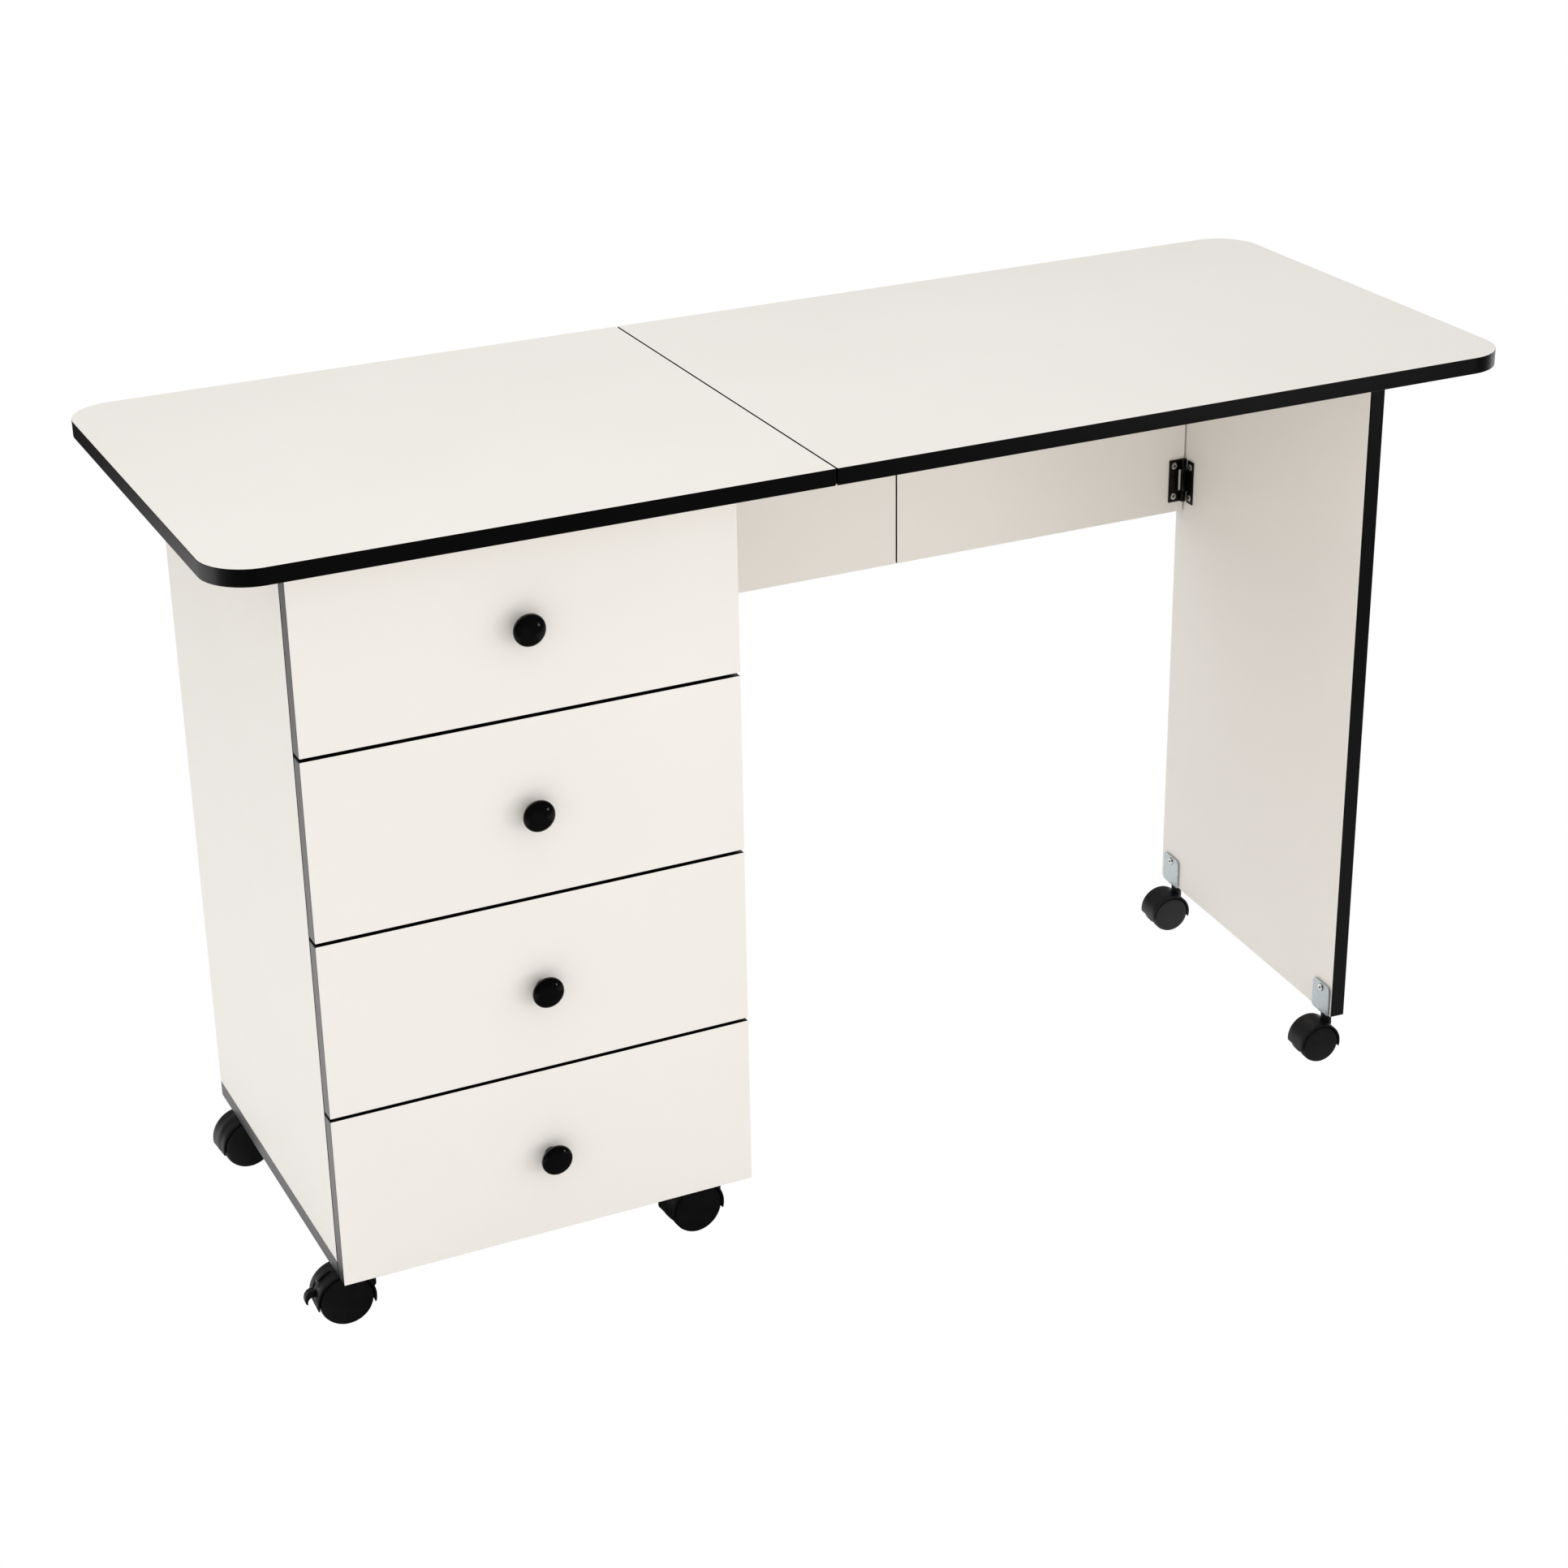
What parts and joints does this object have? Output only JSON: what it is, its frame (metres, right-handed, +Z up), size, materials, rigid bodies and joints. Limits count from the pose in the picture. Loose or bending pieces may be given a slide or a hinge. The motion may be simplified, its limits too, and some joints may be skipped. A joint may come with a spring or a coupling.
{
  "type": "folding sewing table",
  "caption": "Folding sewing table: a drawer pedestal and a hinged leaf carried by a bifold apron and leg panel, all on twin-wheel castors.",
  "frame": {"origin": "centre of the bounding box, on the floor", "axes": "+X along the length towards the leg panel, +Y to the back, +Z up; the drawers face -Y"},
  "size_m": [1.205, 0.46, 0.735],
  "materials": {
    "laminate": "warm white melamine laminate on particle board, satin",
    "edge_banding": "thin black edge banding, semi-gloss",
    "inner_board": "plain pale board inside the cabinet, matt",
    "knob_plastic": "black, glossy, smooth dome",
    "castor_plastic": "moulded black nylon, matt with a fine texture",
    "bracket_zinc": "bright zinc plating with a faint bluish mottle",
    "hinge_steel": "black lacquered steel butt hinge",
    "runner_steel": "white powder-coated drawer runner"
  },
  "bodies": {
    "cabinet": {"top_fixed_board": "laminate", "top_fixed_edging": "edge_banding", "seam_hinge_front_fixed_leaf": "hinge_steel", "seam_hinge_rear_fixed_leaf": "hinge_steel", "cabinet_bottom": "laminate", "cabinet_side_left": "laminate", "cabinet_side_right": "laminate", "cabinet_back": "laminate", "cabinet_rail_front": "inner_board", "cabinet_rail_rear": "inner_board", "drawer_1_runner_left": "runner_steel", "drawer_1_runner_right": "runner_steel", "drawer_2_runner_left": "runner_steel", "drawer_2_runner_right": "runner_steel", "drawer_3_runner_left": "runner_steel", "drawer_3_runner_right": "runner_steel", "drawer_4_runner_left": "runner_steel", "drawer_4_runner_right": "runner_steel", "cabinet_hinge_fixed_leaf": "hinge_steel"},
    "top_leaf": {"top_leaf_board": "laminate", "top_leaf_edging": "edge_banding", "seam_hinge_front_drop_leaf": "hinge_steel", "seam_hinge_rear_drop_leaf": "hinge_steel"},
    "drawer_1": {"drawer_1_front": "laminate", "drawer_1_box": "inner_board", "drawer_1_knob": "knob_plastic"},
    "drawer_2": {"drawer_2_front": "laminate", "drawer_2_box": "inner_board", "drawer_2_knob": "knob_plastic"},
    "drawer_3": {"drawer_3_front": "laminate", "drawer_3_box": "inner_board", "drawer_3_knob": "knob_plastic"},
    "drawer_4": {"drawer_4_front": "laminate", "drawer_4_box": "inner_board", "drawer_4_knob": "knob_plastic"},
    "gate_inner": {"apron_inner": "laminate", "cabinet_hinge_apron_leaf": "hinge_steel", "mid_hinge_inner_leaf": "hinge_steel"},
    "gate_outer": {"apron_outer": "laminate", "mid_hinge_outer_leaf": "hinge_steel", "leg_hinge_apron_leaf": "hinge_steel"},
    "leg": {"leg_panel": "laminate", "leg_edging": "edge_banding", "leg_hinge_leg_leaf": "hinge_steel", "leg_front_bracket": "bracket_zinc", "leg_back_bracket": "bracket_zinc"},
    "castor_front_left_swivel": {"castor_front_left_hood": "castor_plastic"},
    "castor_front_left_rollers": {"castor_front_left_wheels": "castor_plastic"},
    "castor_front_left_brake": {"castor_front_left_brake": "castor_plastic"},
    "castor_front_right_swivel": {"castor_front_right_hood": "castor_plastic"},
    "castor_front_right_rollers": {"castor_front_right_wheels": "castor_plastic"},
    "castor_back_left_swivel": {"castor_back_left_hood": "castor_plastic"},
    "castor_back_left_rollers": {"castor_back_left_wheels": "castor_plastic"},
    "castor_back_right_swivel": {"castor_back_right_hood": "castor_plastic"},
    "castor_back_right_rollers": {"castor_back_right_wheels": "castor_plastic"},
    "castor_back_right_brake": {"castor_back_right_brake": "castor_plastic"},
    "castor_leg_front_swivel": {"castor_leg_front_hood": "castor_plastic"},
    "castor_leg_front_rollers": {"castor_leg_front_wheels": "castor_plastic"},
    "castor_leg_back_swivel": {"castor_leg_back_hood": "castor_plastic"},
    "castor_leg_back_rollers": {"castor_leg_back_wheels": "castor_plastic"}
  },
  "joints": [
    {"name": "leaf_lift", "type": "hinge", "parent": "cabinet", "child": "top_leaf", "pos_m": [-0.078, 0, 0.7198], "axis": [0, -1, 0], "range_deg": [0, 5]},
    {"name": "drawer_1_slide", "type": "slide", "parent": "cabinet", "child": "drawer_1", "axis": [0, -1, 0], "range_m": [0, 0.25]},
    {"name": "drawer_2_slide", "type": "slide", "parent": "cabinet", "child": "drawer_2", "axis": [0, -1, 0], "range_m": [0, 0.25]},
    {"name": "drawer_3_slide", "type": "slide", "parent": "cabinet", "child": "drawer_3", "axis": [0, -1, 0], "range_m": [0, 0.25]},
    {"name": "drawer_4_slide", "type": "slide", "parent": "cabinet", "child": "drawer_4", "axis": [0, -1, 0], "range_m": [0, 0.25]},
    {"name": "gate_cabinet_hinge", "type": "hinge", "parent": "cabinet", "child": "gate_inner", "pos_m": [-0.1445, 0.164, 0.507], "axis": [0, 0, -1], "range_deg": [0, 90]},
    {"name": "gate_middle_hinge", "type": "hinge", "parent": "gate_inner", "child": "gate_outer", "pos_m": [0.1835, 0.185, 0.507], "axis": [0, 0, 1], "range_deg": [0, 180]},
    {"name": "gate_leg_hinge", "type": "hinge", "parent": "gate_outer", "child": "leg", "pos_m": [0.5115, 0.164, 0.507], "axis": [0, 0, -1], "range_deg": [0, 86.4]},
    {"name": "castor_front_left_swivel", "type": "hinge", "parent": "cabinet", "child": "castor_front_left_swivel", "pos_m": [-0.504, -0.149, 0.0484], "axis": [0, 0, 1], "continuous": true},
    {"name": "castor_front_left_roll", "type": "hinge", "parent": "castor_front_left_swivel", "child": "castor_front_left_rollers", "pos_m": [-0.52597, -0.14785, 0.0242], "axis": [0.0523, 0.9986, 0], "continuous": true},
    {"name": "castor_front_left_brake_tilt", "type": "hinge", "parent": "castor_front_left_swivel", "child": "castor_front_left_brake", "pos_m": [-0.5479, -0.1467, 0.03792], "axis": [0.0523, 0.9986, 0], "range_deg": [0, 20]},
    {"name": "castor_front_right_swivel", "type": "hinge", "parent": "cabinet", "child": "castor_front_right_swivel", "pos_m": [-0.172, -0.149, 0.0484], "axis": [0, 0, 1], "continuous": true},
    {"name": "castor_front_right_roll", "type": "hinge", "parent": "castor_front_right_swivel", "child": "castor_front_right_rollers", "pos_m": [-0.19392, -0.15092, 0.0242], "axis": [-0.0872, 0.9962, 0], "continuous": true},
    {"name": "castor_back_left_swivel", "type": "hinge", "parent": "cabinet", "child": "castor_back_left_swivel", "pos_m": [-0.504, 0.1465, 0.0484], "axis": [0, 0, 1], "continuous": true},
    {"name": "castor_back_left_roll", "type": "hinge", "parent": "castor_back_left_swivel", "child": "castor_back_left_rollers", "pos_m": [-0.52595, 0.14497, 0.0242], "axis": [-0.0698, 0.9976, 0], "continuous": true},
    {"name": "castor_back_right_swivel", "type": "hinge", "parent": "cabinet", "child": "castor_back_right_swivel", "pos_m": [-0.172, 0.1465, 0.0484], "axis": [0, 0, 1], "continuous": true},
    {"name": "castor_back_right_roll", "type": "hinge", "parent": "castor_back_right_swivel", "child": "castor_back_right_rollers", "pos_m": [-0.194, 0.1465, 0.0242], "axis": [0, 1, 0], "continuous": true},
    {"name": "castor_back_right_brake_tilt", "type": "hinge", "parent": "castor_back_right_swivel", "child": "castor_back_right_brake", "pos_m": [-0.21596, 0.1465, 0.03792], "axis": [0, 1, 0], "range_deg": [0, 20]},
    {"name": "castor_leg_front_swivel", "type": "hinge", "parent": "leg", "child": "castor_leg_front_swivel", "pos_m": [0.50017, -0.15141, 0.039], "axis": [0, 0, 1], "continuous": true},
    {"name": "castor_leg_front_roll", "type": "hinge", "parent": "castor_leg_front_swivel", "child": "castor_leg_front_rollers", "pos_m": [0.4876, -0.15053, 0.0195], "axis": [0.0698, 0.9976, 0], "continuous": true},
    {"name": "castor_leg_back_swivel", "type": "hinge", "parent": "leg", "child": "castor_leg_back_swivel", "pos_m": [0.51967, 0.15848, 0.039], "axis": [0, 0, 1], "continuous": true},
    {"name": "castor_leg_back_roll", "type": "hinge", "parent": "castor_leg_back_swivel", "child": "castor_leg_back_rollers", "pos_m": [0.5071, 0.15935, 0.0195], "axis": [0.0698, 0.9976, 0], "continuous": true}
  ],
  "couplings": [
    {"joint": "gate_middle_hinge", "follows": "gate_cabinet_hinge", "ratio": 2},
    {"joint": "gate_leg_hinge", "follows": "gate_cabinet_hinge", "ratio": 0.96}
  ]
}
